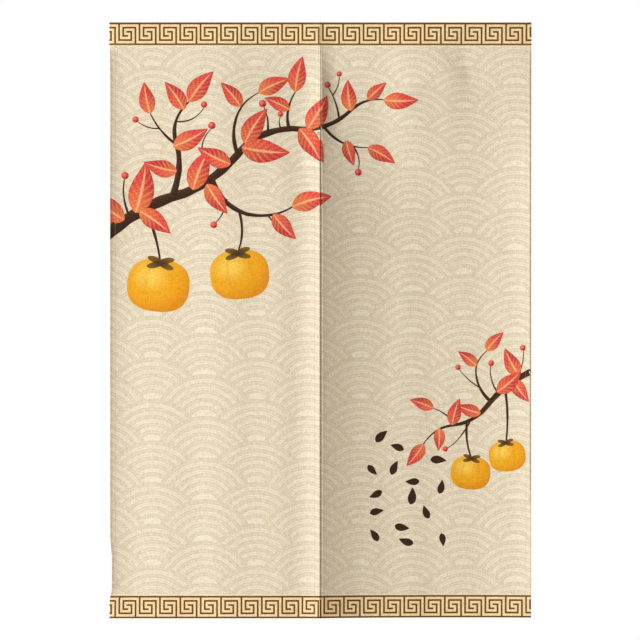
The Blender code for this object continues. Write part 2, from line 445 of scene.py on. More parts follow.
def fanRings(tree, across, down):
    # Share of the pale colour. A place lies between two columns of fans. In each, the lowest fan whose
    # circle holds the place is found from down + sqrt(radius^2 - sideways^2). Of the two fans the lower
    # one shows, and the rings are counted inwards from its rim. A fan's rank is its centre's height,
    # with 10 added so that each fan that holds the place ranks above one that doesn't, which is 0.
    column = addNode(tree, "Math", (across, waves["firstColumn"]), operation="SUBTRACT")
    column = addNode(tree, "Math", (column, waves["columnSpacing"]), operation="DIVIDE")
    column = addNode(tree, "Math", (column,), operation="FLOOR")
    ranks, distances = [], []
    for step in (0, 1):
        number = addNode(tree, "Math", (column, step), operation="ADD")
        middle = addNode(
            tree, "Math", (number, waves["columnSpacing"], waves["firstColumn"]), operation="MULTIPLY_ADD"
        )
        sideways = addNode(tree, "Math", (across, middle), operation="SUBTRACT")
        squared = addNode(tree, "Math", (sideways, sideways), operation="MULTIPLY")
        reach = addNode(tree, "Math", (waves["radius"] ** 2, squared), operation="SUBTRACT")
        reach = addNode(tree, "Math", (reach, 0.0), operation="MAXIMUM")
        reach = addNode(tree, "Math", (reach,), operation="SQRT")
        odd = addNode(tree, "Math", (number, 2.0), operation="FLOORED_MODULO")
        first = addNode(
            tree, "Math", (odd, waves["stagger"], waves["firstCentre"]), operation="MULTIPLY_ADD"
        )
        fan = addNode(tree, "Math", (down, reach), operation="ADD")
        fan = addNode(tree, "Math", (fan, first), operation="SUBTRACT")
        fan = addNode(tree, "Math", (fan, waves["rowSpacing"]), operation="DIVIDE")
        fan = addNode(tree, "Math", (fan,), operation="FLOOR")
        centre = addNode(tree, "Math", (fan, waves["rowSpacing"], first), operation="MULTIPLY_ADD")
        below = addNode(tree, "Math", (centre, down), operation="SUBTRACT")
        distance = addNode(tree, "Math", (below, below, squared), operation="MULTIPLY_ADD")
        distance = addNode(tree, "Math", (distance,), operation="SQRT")
        holds = addNode(tree, "Math", (distance, waves["radius"]), operation="LESS_THAN")
        rank = addNode(tree, "Math", (centre, 10.0), operation="ADD")
        ranks.append(addNode(tree, "Math", (rank, holds), operation="MULTIPLY"))
        distances.append(distance)
    secondShows = addNode(tree, "Math", (ranks[1], ranks[0]), operation="GREATER_THAN")
    distance = addNode(tree, "Mix", (secondShows, None, distances[0], distances[1]))
    inside = addNode(tree, "Math", (waves["radius"], distance), operation="SUBTRACT")
    ring = addNode(tree, "Math", (inside, waves["margin"]), operation="SUBTRACT")
    ring = addNode(tree, "Math", (ring, waves["ringSpacing"]), operation="FLOORED_MODULO")
    toEnd = addNode(tree, "Math", (waves["ringWidth"], ring), operation="SUBTRACT")
    band = addNode(tree, "Math", (ring, toEnd), operation="MINIMUM")
    band = addNode(
        tree, "MapRange", (band, -waves["blur"], waves["blur"]), interpolation_type="SMOOTHSTEP"
    )
    pastRim = addNode(tree, "Math", (inside, waves["margin"] / 2), operation="GREATER_THAN")
    band = addNode(tree, "Math", (band, pastRim), operation="MULTIPLY")
    hair = addNode(tree, "Math", (ring, waves["ringWidth"] / 2, waves["hairline"]), operation="COMPARE")
    band = addNode(tree, "Math", (hair, -waves["hairTone"], band), operation="MULTIPLY_ADD")
    groundMiddle = (waves["ringWidth"] + waves["ringSpacing"]) / 2
    hair = addNode(tree, "Math", (ring, groundMiddle, waves["hairline"]), operation="COMPARE")
    hair = addNode(tree, "Math", (hair, pastRim), operation="MULTIPLY")
    band = addNode(tree, "Math", (hair, waves["groundHair"], band), operation="MULTIPLY_ADD")
    disc = addNode(
        tree, "MapRange", (inside, waves["discFrom"] - waves["blur"], waves["discFrom"] + waves["blur"]),
        interpolation_type="SMOOTHSTEP",
    )
    return addNode(tree, "Math", (band, disc), operation="MAXIMUM", use_clamp=True)


def keyFret(tree, across, down, firstLine):
    # share of the brown lines: a place is on a stroke if it is within half its size both ways
    half = border["stroke"] / 2
    columnWidth = border["unitWidth"] / border["columns"]
    unit = addNode(tree, "Math", (across, border["firstBar"] - columnWidth / 2), operation="SUBTRACT")
    unit = addNode(tree, "Math", (unit, border["unitWidth"]), operation="FLOORED_MODULO")
    unit = addNode(tree, "Math", (unit, columnWidth / 2), operation="SUBTRACT")
    row = addNode(tree, "Math", (down, firstLine), operation="SUBTRACT")
    ink = addNode(tree, "Math", (row, 0.0, half), operation="COMPARE")
    lastRow = border["rows"] * border["rowSpacing"]
    lastLine = addNode(tree, "Math", (row, lastRow, half), operation="COMPARE")
    ink = addNode(tree, "Math", (ink, lastLine), operation="MAXIMUM")
    for stroke in keyStrokes:
        halfWide = (stroke.right - stroke.left) * columnWidth / 2 + half
        halfHigh = (stroke.bottom - stroke.top) * border["rowSpacing"] / 2 + half
        middle = (stroke.left + stroke.right) * columnWidth / 2
        level = (stroke.top + stroke.bottom) * border["rowSpacing"] / 2
        wide = addNode(tree, "Math", (unit, middle, halfWide), operation="COMPARE")
        high = addNode(tree, "Math", (row, level, halfHigh), operation="COMPARE")
        both = addNode(tree, "Math", (wide, high), operation="MULTIPLY")
        ink = addNode(tree, "Math", (ink, both), operation="MAXIMUM")
    return ink


def mixColours(tree, share, first, second):
    # first * (1 - share) + second * share
    return addNode(tree, "Mix", {0: share, 6: first, 7: second}, output=2, data_type="RGBA")


def printedColour(tree, place):
    # the waves, and over them the two borders with their edging strips
    across = addNode(tree, "SeparateXYZ", (place,), output="X")
    down = across.node.outputs["Y"]
    rings = fanRings(tree, across, down)
    colour = mixColours(tree, rings, linearColour(waves["ground"]), linearColour(waves["pale"]))
    bandHeight = border["rows"] * border["rowSpacing"]
    for firstLine in (border["topFirst"], border["bottomFirst"]):
        middle = firstLine + bandHeight / 2
        halfBand = bandHeight / 2 + border["stroke"] / 2
        strip = addNode(tree, "Math", (down, middle, halfBand + border["edging"]), operation="COMPARE")
        colour = mixColours(tree, strip, colour, linearColour(border["edgingColour"]))
        inBand = addNode(tree, "Math", (down, middle, halfBand), operation="COMPARE")
        ink = keyFret(tree, across, down, firstLine)
        fret = mixColours(tree, ink, linearColour(border["ground"]), linearColour(border["line"]))
        colour = mixColours(tree, inBand, colour, fret)
    return colour


# Plain weave of cotton and linen. Its threads lie 0.5 mm apart, too fine to show at this size, so the
# ribs are drawn 2.4 mm apart. The slubs, where a thread is thicker, are drawn 2.2 mm wide, and the
# uneven threads between them 1.9 mm wide.
wavePeriod = 0.314          # a wave texture of scale 1 repeats over this length
weave = dict(
    ribSpacing=0.0024,
    ribDepth=0.00003,
    slubLength=0.050,
    slubWidth=0.0022,
    threadLength=0.0090,
    threadWidth=0.0019,
    slubDepth=0.00012,
    slubTint=0.08,
    threadTint=0.21,
)


def weaveSurface(tree, place):
    # Height in metres: ribs across times ribs down, and noise drawn out along each thread direction.
    # Slubs and uneven threads also tint the cloth, because a thick thread takes up more colour.
    ribs = []
    for direction in ("X", "Y"):
        ribs.append(addNode(
            tree, "TexWave",
            {"Vector": place, "Scale": wavePeriod / weave["ribSpacing"], "Distortion": 0.8,
             "Detail": 1.0, "Detail Scale": 1.5},
            output=1, bands_direction=direction,
        ))
    uneven = []
    for kind in ("slub", "thread"):
        long, thick = weave[kind + "Length"], weave[kind + "Width"]
        both = []
        for wide, high in ((long, thick), (thick, long)):
            stretched = addNode(tree, "Mapping", {0: place, 3: (1 / wide, 1 / high, 1.0)})
            both.append(addNode(
                tree, "TexNoise", {"Vector": stretched, "Scale": 1.0, "Detail": 2.0, "Roughness": 0.55}
            ))
        uneven.append(addNode(tree, "Math", both, operation="ADD"))
    slub, thread = uneven
    rib = addNode(tree, "Math", ribs, operation="MULTIPLY")
    height = addNode(tree, "Math", (rib, weave["ribDepth"]), operation="MULTIPLY")
    height = addNode(tree, "Math", (slub, weave["slubDepth"], height), operation="MULTIPLY_ADD")
    # two noises add up to between 0.6 and 1.4 nearly everywhere
    tints = []
    for noise, tint in ((slub, weave["slubTint"]), (thread, weave["threadTint"])):
        tints.append(addNode(tree, "MapRange", (noise, 0.6, 1.4, 1 - tint, 1 + tint)))
    return height, addNode(tree, "Math", tints, operation="MULTIPLY")


def wovenMaterial(name, colourAt, roughness, sheen):
    # a matt cloth, a little brighter at a low angle from the fibres that stand off it
    material = bpy.data.materials.new(name)
    tree = emptyTree(material)
    place = addNode(tree, "UVMap", uv_map="flatCloth")
    height, tint = weaveSurface(tree, place)
    colour = addNode(
        tree, "VectorMath", {"Vector": colourAt(tree, place), "Scale": tint}, operation="SCALE"
    )
    bump = addNode(tree, "Bump", {"Strength": 1.0, "Distance": 1.0, "Height": height})
    surface = addNode(
        tree, "BsdfPrincipled",
        {"Base Color": colour, "Roughness": roughness, "IOR": 1.5, "Specular IOR Level": 0.2,
         "Sheen Weight": sheen, "Sheen Roughness": 0.5, "Normal": bump},
    )
    addNode(tree, "OutputMaterial", (surface,))
    return material


reverse = dict(bare="#EEE4CD", printShare=0.34)


def reverseColour(tree, place):
    # The back takes up a third of the print. The hems are turned over it and show bare cloth.
    share = reverse["printShare"]
    hem = addNode(tree, "Attribute", output="Fac", attribute_name="hem")
    shown = addNode(tree, "Math", (hem, -share, share), operation="MULTIPLY_ADD")
    return mixColours(tree, shown, linearColour(reverse["bare"]), printedColour(tree, place))


def inkColour(tree, place):
    # the spray's colours are painted on its own points
    return addNode(tree, "Attribute", output="Color", attribute_name="ink")


# the face is matt, the reverse duller and more fibrous, and the thick pigment a little smoother
printedCloth = wovenMaterial(
    "pigment-printed cotton-linen plain weave", printedColour, roughness=0.88, sheen=0.10
)
reverseCloth = wovenMaterial(
    "reverse of the printed plain weave", reverseColour, roughness=0.92, sheen=0.12
)
pigmentPrint = wovenMaterial("pigment print on plain weave", inkColour, roughness=0.82, sheen=0.05)

sewing = dict(twist=0.0009, twistDepth=0.00008, toneScale=60.0, shade="#C0AD86", light="#CEBC97")


def threadMaterial():
    # Core-spun polyester sewing thread, its two plies twisted every 0.9 mm: a slight silky gloss, with
    # the twist as slanting ridges along the thread
    material = bpy.data.materials.new("core-spun polyester sewing thread")
    tree = emptyTree(material)
    place = addNode(tree, "TexCoord", output="Object")
    twist = addNode(
        tree, "TexWave", {"Vector": place, "Scale": wavePeriod / sewing["twist"]},
        output=1, bands_direction="DIAGONAL",
    )
    tone = addNode(tree, "TexNoise", {"Vector": place, "Scale": sewing["toneScale"], "Detail": 1.0})
    colour = mixColours(tree, tone, linearColour(sewing["shade"]), linearColour(sewing["light"]))
    bump = addNode(tree, "Bump", {"Strength": 0.6, "Distance": sewing["twistDepth"], "Height": twist})
    surface = addNode(
        tree, "BsdfPrincipled",
        {"Base Color": colour, "Roughness": 0.55, "IOR": 1.5, "Sheen Weight": 0.1, "Normal": bump},
    )
    addNode(tree, "OutputMaterial", (surface,))
    return material


sewingThread = threadMaterial()
print("mixed the materials of cloth, print and thread")


def newPiece(name, data):
    # a still piece, shaded smooth and attached to the root
    data.shade_smooth()
    piece = bpy.data.objects.new(name, data)
    bpy.context.scene.collection.objects.link(piece)
    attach(piece, "root")
    return piece


Stretch = namedtuple("Stretch", "end step")


def stations(start, stretches):
    # places from start through each stretch's end, in equal steps no longer than its step
    places = np.array([start])
    for stretch in stretches:
        count = int(np.ceil((stretch.end - places[-1]) / stretch.step - 1e-6))
        places = np.append(places, np.linspace(places[-1], stretch.end, count + 1)[1:])
    return places


grid = dict(
    edgeStep=0.00033,       # around the rounded edges
    foldStep=0.0004,        # over a hem's inner fold
    hemAcross=0.0028,
    hemDown=0.0044,
    across=0.0038,
    down=0.0043,
)
bakeMap = dict(rim=0.001, frontEnd=0.798, backStart=0.802)     # shares of the map's width


def clothStations(start, end, firstHem, lastHem, hemStep, step):
    # fine at the rounded edges and at the hems' inner folds, and wider on the open cloth
    half = curtain["hemThickness"] / 2
    rise = curtain["hemStep"]
    return stations(start, (
        Stretch(start + half, grid["edgeStep"]),
        Stretch(start + firstHem, hemStep),
        Stretch(start + firstHem + rise, grid["foldStep"]),
        Stretch(end - lastHem - rise, step),
        Stretch(end - lastHem, grid["foldStep"]),
        Stretch(end - half, hemStep),
        Stretch(end, grid["edgeStep"]),
    ))


def gridQuads(numbers):
    # quads of a grid of point numbers whose columns go right and rows go down, facing the viewer
    return np.stack(
        [numbers[:-1, :-1], numbers[1:, :-1], numbers[1:, 1:], numbers[:-1, 1:]], axis=-1
    ).reshape(-1, 4)


def makeCloth(side):
    # A closed sheet: front and back grids over the same flat places, which share their border points
    panel = panels[side]
    sideHem = curtain["sideHem"]
    columns = clothStations(
        panel["start"], panel["end"], sideHem, sideHem, grid["hemAcross"], grid["across"]
    )
    rows = clothStations(
        0.0, curtain["height"], curtain["topHem"], curtain["bottomHem"], grid["hemDown"], grid["down"]
    )
    across, down = np.meshgrid(columns, rows)
    frontLift, backLift = clothLifts(side, across, down)
    frontPoints = hang(side, across, down, frontLift).reshape(-1, 3)
    backPoints = hang(side, across, down, backLift)[1:-1, 1:-1].reshape(-1, 3)
    frontNumbers = np.arange(across.size).reshape(across.shape)
    backNumbers = frontNumbers.copy()
    backNumbers[1:-1, 1:-1] = across.size + np.arange(len(backPoints)).reshape(len(rows) - 2, -1)
    frontQuads, backQuads = gridQuads(frontNumbers), gridQuads(backNumbers)[:, ::-1]
    points = np.concatenate([frontPoints, backPoints])
    quads = np.concatenate([frontQuads, backQuads])
    data = bpy.data.meshes.new(panel["node"] + "_cloth")
    data.from_pydata(points.tolist(), [], quads.tolist())
    data.materials.append(printedCloth)
    data.materials.append(reverseCloth)
    isBack = np.repeat([0, 1], [len(frontQuads), len(backQuads)])
    data.polygons.foreach_set("material_index", isBack.astype(np.int32))

    # the print follows the flat cloth, and the bake map lays the front and the back side by side
    flat = np.stack([across, down], axis=-1)
    flatPlaces = np.concatenate([flat.reshape(-1, 2), flat[1:-1, 1:-1].reshape(-1, 2)])
    layer = data.uv_layers.new(name="flatCloth")
    layer.data.foreach_set("uv", flatPlaces[quads.ravel()].astype(np.float32).ravel())
    unit = (flatPlaces - [panel["start"], 0.0]) / [panel["end"] - panel["start"], curtain["height"]]
    rim = bakeMap["rim"]
    unit[:, 1] = 1.0 - rim - (1.0 - 2 * rim) * unit[:, 1]
    bake = unit[quads]
    for face, first, last in ((0, rim, bakeMap["frontEnd"]), (1, bakeMap["backStart"], 1.0 - rim)):
        bake[isBack == face, :, 0] = first + (last - first) * bake[isBack == face, :, 0]
    layer = data.uv_layers.new(name="OFBake")
    layer.data.foreach_set("uv", bake.astype(np.float32).ravel())
    attribute = data.attributes.new("hem", "FLOAT", "POINT")
    share = hemShare(side, flatPlaces[:, 0], flatPlaces[:, 1])
    attribute.data.foreach_set("value", share.astype(np.float32))
    piece = newPiece(panel["node"] + "_cloth", data)
    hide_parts(panel["node"])
    return piece


cloths = {side: makeCloth(side) for side in panels}
print("hung the two cloths")


# Lockstitches: each is a short grain of thread, sunk a little into the cloth
stitch = dict(
    spacing=0.0030,
    length=0.0024,
    width=0.00050,
    height=0.00045,
    sunk=0.00010,
    fromFold=0.0010,        # a side hem's seam runs this far inside its inner fold
    fromEndFold=0.0020,     # and a top or bottom hem's this far
    endGap=0.0020,          # a seam stops this far before the cloth's edge
    lapGap=0.0015,
    tackCount=18,           # the bar tack's stitches
    tackHalfWidth=0.0030,
    tackHalfHeight=0.0035,
)
Row = namedtuple("Row", "fromAcross fromDown toAcross toDown face")


def seamRows(side):
    # the hems' stitching shows on both faces, and the lap's on the curtain's front and back
    panel = panels[side]
    inside = curtain["sideHem"] - stitch["fromFold"]
    top = curtain["topHem"] - stitch["fromEndFold"]
    bottom = curtain["height"] - curtain["bottomHem"] + stitch["fromEndFold"]
    gap = stitch["endGap"]
    rows = []
    for face in ("front", "back"):
        for across in (panel["start"] + inside, panel["end"] - inside):
            rows.append(Row(across, gap, across, curtain["height"] - gap, face))
        for down in (top, bottom):
            rows.append(Row(panel["start"] + gap, down, panel["end"] - gap, down, face))
    lapFace = "front" if side == "left" else "back"
    lapSeam = curtain["middle"] - curtain["lap"] / 2
    rows.append(Row(lapSeam, stitch["lapGap"], lapSeam, curtain["seamLength"], lapFace))
    return rows


def grain(sides=6, rings=4):
    # A closed spindle from -1 to 1 along the first axis, with the radius sqrt(1 - x^2)^0.7 around it
    x = np.linspace(-1.0, 1.0, rings + 2)[1:-1]
    radius = np.sqrt(1.0 - x**2) ** 0.7
    angle = np.linspace(0.0, 2 * np.pi, sides, endpoint=False)
    body = np.stack([
        np.repeat(x, sides),
        np.outer(radius, np.cos(angle)).ravel(),
        np.outer(radius, np.sin(angle)).ravel(),
    ], axis=-1)
    points = np.concatenate([body, [[-1.0, 0.0, 0.0], [1.0, 0.0, 0.0]]])
    numbers = np.arange(rings * sides).reshape(rings, sides)
    following = np.roll(numbers, -1, axis=1)
    quads = np.stack([numbers[:-1], numbers[1:], following[1:], following[:-1]], axis=-1).reshape(-1, 4)
    first, last = rings * sides, rings * sides + 1
    ends = np.concatenate([
        np.stack([np.full(sides, first), numbers[0], following[0]], axis=-1),
        np.stack([np.full(sides, last), following[-1], numbers[-1]], axis=-1),
    ])
    return points, quads, ends


def turnOutwards(data):
    # turns the faces of closed shapes outwards
    work = bmesh.new()
    work.from_mesh(data)
    bmesh.ops.recalc_face_normals(work, faces=work.faces)
    work.to_mesh(data)
    work.free()


def makeStitches(side):
    # every grain is placed on the flat cloth, along its seam, and each row is hung at once
    shape, quads, ends = grain()
    out = shape[:, 2] * stitch["height"] / 2 + stitch["height"] / 2 - stitch["sunk"]
    placed = []
    for row in seamRows(side):
        start = np.array([row.fromAcross, row.fromDown])
        end = np.array([row.toAcross, row.toDown])
        length = np.linalg.norm(end - start)
        count = int(length // stitch["spacing"])
        along = (end - start) / length
        beside = np.array([-along[1], along[0]])
        centres = start + np.outer((np.arange(count) + 0.5) * length / count, along)
        spread = np.outer(shape[:, 0] * stitch["length"] / 2, along)
        spread += np.outer(shape[:, 1] * stitch["width"] / 2, beside)
        placed.append((centres, spread, row.face))
    if side == "left":
        # the bar tack that ends the lap, close stitches across the seam where the slit begins
        tackDown = np.linspace(-stitch["tackHalfHeight"], stitch["tackHalfHeight"], stitch["tackCount"])
        tackAcross = np.full(stitch["tackCount"], curtain["middle"] - curtain["lap"] / 2)
        centres = np.stack([tackAcross, curtain["seamLength"] + tackDown], axis=-1)
        spread = shape[:, :2] * [stitch["tackHalfWidth"], stitch["width"] / 2]
        placed.append((centres, spread, "front"))
    pointParts = []
    for centres, spread, face in placed:
        flat = (centres[:, None, :] + spread[None, :, :]).reshape(-1, 2)
        front, back = clothLifts(side, flat[:, 0], flat[:, 1])
        outEach = np.tile(out, len(centres))
        lift = front + outEach if face == "front" else back - outEach
        pointParts.append(hang(side, flat[:, 0], flat[:, 1], lift))
    points = np.concatenate(pointParts)
    offsets = np.arange(len(points) // len(shape))[:, None, None] * len(shape)
    faces = (quads[None] + offsets).reshape(-1, 4).tolist()
    faces += (ends[None] + offsets).reshape(-1, 3).tolist()
    name = panels[side]["node"] + "_stitches"
    data = bpy.data.meshes.new(name)
    data.from_pydata(points.tolist(), [], faces)
    data.materials.append(sewingThread)
    turnOutwards(data)
    return newPiece(name, data)


stitches = {side: makeStitches(side) for side in panels}
print("sewed the hems and the lap")


# The printed spray: a dark branch with red autumn leaves and golden persimmons, and a smaller one at
# the right edge. Each shape is laid out on the flat cloth, cut at the slit and the panels' edges, and
# hung with its panel as a film of pigment, the later shapes a little above the earlier ones.
spray = dict(
    bark="#3B2315", barkLight="#5A3A24",
    leafRed="#E0463C", leafDeep="#BE2D2E", leafGold="#F08C40", leafVein="#F8B98C",
    berry="#D8423A", berryLight="#F08068", berryTip="#5A1F1A",
    fruit="#F0A91D", fruitDeep="#DE8A12", fruitLight="#F9CF55",
    calyx="#7C5A24", calyxDark="#4B3418",
    boughStep=0.0045,       # between a bough's rows of points
    boughPlaces=5,          # points across a bough
    knots=0.09,             # share by which a bough's width wavers
    leafRows=41,
    darkLeafRows=13,
    leafWidth=0.54,         # of a leaf's length
    fruitHeight=0.84,       # of a fruit's width, as the next three are
    calyxUp=0.36,
    calyxWidth=0.56,
    calyxHeight=0.26,
    film=0.00012,           # the lowest shape's lift over the cloth
    step=0.00003,           # lift of a shape over one that it lies on
    edgeGap=0.0004,         # the print stops this far before the cloth's edge
    backGap=0.0002,         # and its ghost this far before the hem's inner fold
    ghost=0.22,             # share of the colours that comes through to the back
    reverseCloth="#E9DDC2",
)

Bough = namedtuple("Bough", "startAcross startDown bendAcross bendDown endAcross endDown thick thin")
boughs = (
    Bough(-0.010, 0.430, 0.070, 0.365, 0.150, 0.345, 0.0263, 0.0187),
    Bough(0.148, 0.346, 0.215, 0.318, 0.262, 0.262, 0.0187, 0.0150),
    Bough(0.260, 0.264, 0.300, 0.216, 0.372, 0.214, 0.0150, 0.0112),
    Bough(0.368, 0.214, 0.440, 0.222, 0.486, 0.176, 0.0112, 0.0069),
    Bough(0.484, 0.178, 0.515, 0.150, 0.552, 0.156, 0.0069, 0.0020),
    Bough(0.128, 0.348, 0.150, 0.285, 0.132, 0.235, 0.0137, 0.0088),
    Bough(0.133, 0.238, 0.122, 0.196, 0.160, 0.160, 0.0088, 0.0028),
    Bough(0.134, 0.246, 0.100, 0.222, 0.082, 0.184, 0.0057, 0.0020),
    Bough(0.206, 0.316, 0.225, 0.372, 0.282, 0.388, 0.0125, 0.0075),
    Bough(0.280, 0.387, 0.330, 0.396, 0.368, 0.372, 0.0075, 0.0028),
    Bough(0.262, 0.384, 0.273, 0.425, 0.259, 0.462, 0.0057, 0.0032),
    Bough(0.068, 0.370, 0.094, 0.420, 0.102, 0.480, 0.0075, 0.0037),
    Bough(0.258, 0.266, 0.240, 0.220, 0.262, 0.176, 0.0088, 0.0037),
    Bough(0.262, 0.178, 0.270, 0.158, 0.300, 0.142, 0.0042, 0.0018),
    Bough(0.362, 0.216, 0.350, 0.180, 0.374, 0.140, 0.0070, 0.0022),
    Bough(0.430, 0.210, 0.462, 0.254, 0.520, 0.252, 0.0063, 0.0020),
    Bough(0.860, 0.700, 0.800, 0.722, 0.762, 0.772, 0.0137, 0.0100),
    Bough(0.763, 0.770, 0.735, 0.808, 0.690, 0.812, 0.0100, 0.0057),
    Bough(0.692, 0.812, 0.655, 0.816, 0.632, 0.850, 0.0057, 0.0018),
    Bough(0.768, 0.764, 0.738, 0.738, 0.738, 0.700, 0.0070, 0.0028),
    Bough(0.738, 0.704, 0.738, 0.680, 0.760, 0.662, 0.0032, 0.0015),
    Bough(0.720, 0.805, 0.716, 0.845, 0.729, 0.878, 0.0050, 0.0030),
    Bough(0.796, 0.732, 0.806, 0.790, 0.799, 0.846, 0.0057, 0.0032),
    Bough(0.700, 0.812, 0.676, 0.785, 0.652, 0.778, 0.0040, 0.0015),
    Bough(0.176, 0.334, 0.196, 0.296, 0.186, 0.262, 0.0062, 0.0030),
    Bough(0.187, 0.266, 0.182, 0.236, 0.206, 0.214, 0.0034, 0.0014),
    Bough(0.134, 0.200, 0.170, 0.204, 0.190, 0.172, 0.0034, 0.0014),
    Bough(0.100, 0.214, 0.076, 0.216, 0.056, 0.200, 0.0030, 0.0012),
    Bough(0.318, 0.224, 0.322, 0.192, 0.310, 0.170, 0.0046, 0.0016),
    Bough(0.400, 0.216, 0.404, 0.184, 0.426, 0.166, 0.0040, 0.0014),
    Bough(0.462, 0.196, 0.458, 0.160, 0.440, 0.132, 0.0044, 0.0016),
    Bough(0.448, 0.148, 0.462, 0.130, 0.462, 0.110, 0.0026, 0.0012),
    Bough(0.490, 0.250, 0.507, 0.272, 0.500, 0.296, 0.0034, 0.0014),
    Bough(0.236, 0.356, 0.232, 0.386, 0.214, 0.404, 0.0040, 0.0016),
    Bough(0.320, 0.390, 0.336, 0.414, 0.356, 0.418, 0.0034, 0.0014),
    Bough(0.040, 0.392, 0.022, 0.350, 0.030, 0.316, 0.0050, 0.0020),
    Bough(0.744, 0.735, 0.722, 0.722, 0.705, 0.700, 0.0026, 0.0012),
    Bough(0.782, 0.746, 0.764, 0.720, 0.768, 0.692, 0.0034, 0.0014),
    Bough(0.726, 0.806, 0.700, 0.850, 0.680, 0.858, 0.0028, 0.0012),
    Bough(0.820, 0.716, 0.836, 0.690, 0.834, 0.662, 0.0030, 0.0014),
    Bough(0.346, 0.216, 0.338, 0.202, 0.344, 0.190, 0.0028, 0.0013),
)

# small red berries on the ends of twigs
Berry = namedtuple("Berry", "across down size")
berries = (
    Berry(0.206, 0.208, 0.0150),
    Berry(0.190, 0.166, 0.0130),
    Berry(0.052, 0.196, 0.0130),
    Berry(0.308, 0.164, 0.0150),
    Berry(0.429, 0.161, 0.0140),
    Berry(0.438, 0.126, 0.0130),
    Berry(0.462, 0.104, 0.0110),
    Berry(0.500, 0.302, 0.0140),
    Berry(0.210, 0.408, 0.0140),
    Berry(0.361, 0.420, 0.0130),
    Berry(0.031, 0.309, 0.0150),
    Berry(0.344, 0.185, 0.0110),
    Berry(0.702, 0.695, 0.0110),
    Berry(0.769, 0.687, 0.0120),
    Berry(0.676, 0.860, 0.0110),
    Berry(0.833, 0.656, 0.0120),
)

Fruit = namedtuple("Fruit", "across down size lean")
fruits = (
    Fruit(0.098, 0.530, 0.126, 6),
    Fruit(0.262, 0.508, 0.118, -5),
    Fruit(0.727, 0.908, 0.080, 5),
    Fruit(0.801, 0.874, 0.074, -6),
)

# A leaf: where its stalk ends, its heading in degrees from upright, its length and bend
Leaf = namedtuple("Leaf", "across down heading length bend")
leaves = (
    Leaf(0.030, 0.398, -62, 0.092, 0.18),
    Leaf(0.052, 0.384, 20, 0.104, -0.15),
    Leaf(0.060, 0.380, 118, 0.077, 0.14),
    Leaf(0.160, 0.160, 30, 0.077, 0.16),
    Leaf(0.150, 0.176, -28, 0.067, -0.12),
    Leaf(0.082, 0.184, -18, 0.064, 0.12),
    Leaf(0.128, 0.250, 72, 0.077, -0.16),
    Leaf(0.136, 0.300, -84, 0.069, 0.16),
    Leaf(0.168, 0.338, 14, 0.087, 0.14),
    Leaf(0.196, 0.326, 152, 0.072, -0.12),
    Leaf(0.300, 0.142, 58, 0.069, 0.14),
    Leaf(0.264, 0.170, -32, 0.062, -0.14),
    Leaf(0.266, 0.252, 104, 0.097, -0.14),
    Leaf(0.272, 0.244, 24, 0.082, 0.16),
    Leaf(0.244, 0.286, -70, 0.074, 0.12),
    Leaf(0.374, 0.140, 4, 0.072, 0.14),
    Leaf(0.362, 0.176, -58, 0.055, -0.12),
    Leaf(0.382, 0.214, 138, 0.082, 0.14),
    Leaf(0.398, 0.215, 38, 0.077, -0.14),
    Leaf(0.368, 0.372, 66, 0.079, 0.15),
    Leaf(0.330, 0.386, 146, 0.067, -0.14),
    Leaf(0.486, 0.178, -14, 0.062, 0.14),
    Leaf(0.552, 0.156, 98, 0.069, -0.14),
    Leaf(0.520, 0.156, 40, 0.050, 0.12),
    Leaf(0.520, 0.252, 112, 0.062, 0.14),
    Leaf(0.476, 0.238, 170, 0.052, -0.12),
    Leaf(0.826, 0.712, -36, 0.062, 0.14),
    Leaf(0.812, 0.718, 152, 0.057, -0.14),
    Leaf(0.780, 0.745, 58, 0.064, -0.15),
    Leaf(0.760, 0.662, 34, 0.050, 0.14),
    Leaf(0.740, 0.692, -46, 0.047, -0.12),
    Leaf(0.748, 0.788, -78, 0.052, 0.12),
    Leaf(0.690, 0.812, 8, 0.055, 0.14),
    Leaf(0.652, 0.778, -62, 0.050, -0.14),
    Leaf(0.632, 0.850, -150, 0.055, 0.14),
    Leaf(0.664, 0.818, 176, 0.045, 0.12),
)

# leaves that drift down beside the smaller spray, as dark as the branch
driftingLeaves = (
    Leaf(0.536, 0.846, 34, 0.032, 0.2),
    Leaf(0.592, 0.862, -58, 0.028, -0.2),
    Leaf(0.646, 0.882, 82, 0.032, 0.2),
    Leaf(0.520, 0.892, 148, 0.026, -0.2),
    Leaf(0.568, 0.912, 12, 0.030, 0.2),
    Leaf(0.624, 0.924, -104, 0.028, 0.2),
    Leaf(0.548, 0.944, -128, 0.028, 0.2),
    Leaf(0.664, 0.950, 24, 0.028, -0.2),
    Leaf(0.606, 0.972, 18, 0.034, -0.2),
    Leaf(0.524, 0.990, 66, 0.028, 0.2),
    Leaf(0.644, 1.000, -34, 0.028, 0.2),
    Leaf(0.574, 1.014, 112, 0.030, -0.2),
    Leaf(0.668, 1.030, 160, 0.026, 0.2),
    Leaf(0.540, 1.046, -22, 0.028, -0.2),
    Leaf(0.612, 1.050, -84, 0.030, 0.2),
)


def blend(colours, hexCode, share):
    # moves each colour towards a hex code by its own share
    share = np.asarray(share, float)[..., None]
    return colours * (1 - share) + np.array(linearColour(hexCode)) * share


def mixHex(first, second, share):
    # colours between two hex codes, one for each value of share
    return blend(np.array(linearColour(first)), second, share)


def pathGrid(path, halfWidths, share):
    # points beside a path on the flat cloth: path + share * halfWidth * side, share from -1 to 1
    ahead = np.gradient(path, axis=0)
    ahead /= np.linalg.norm(ahead, axis=1, keepdims=True)
    beside = np.stack([-ahead[:, 1], ahead[:, 0]], axis=-1)
    return path[:, None, :] + share[None, :, None] * halfWidths[:, None, None] * beside[:, None, :]


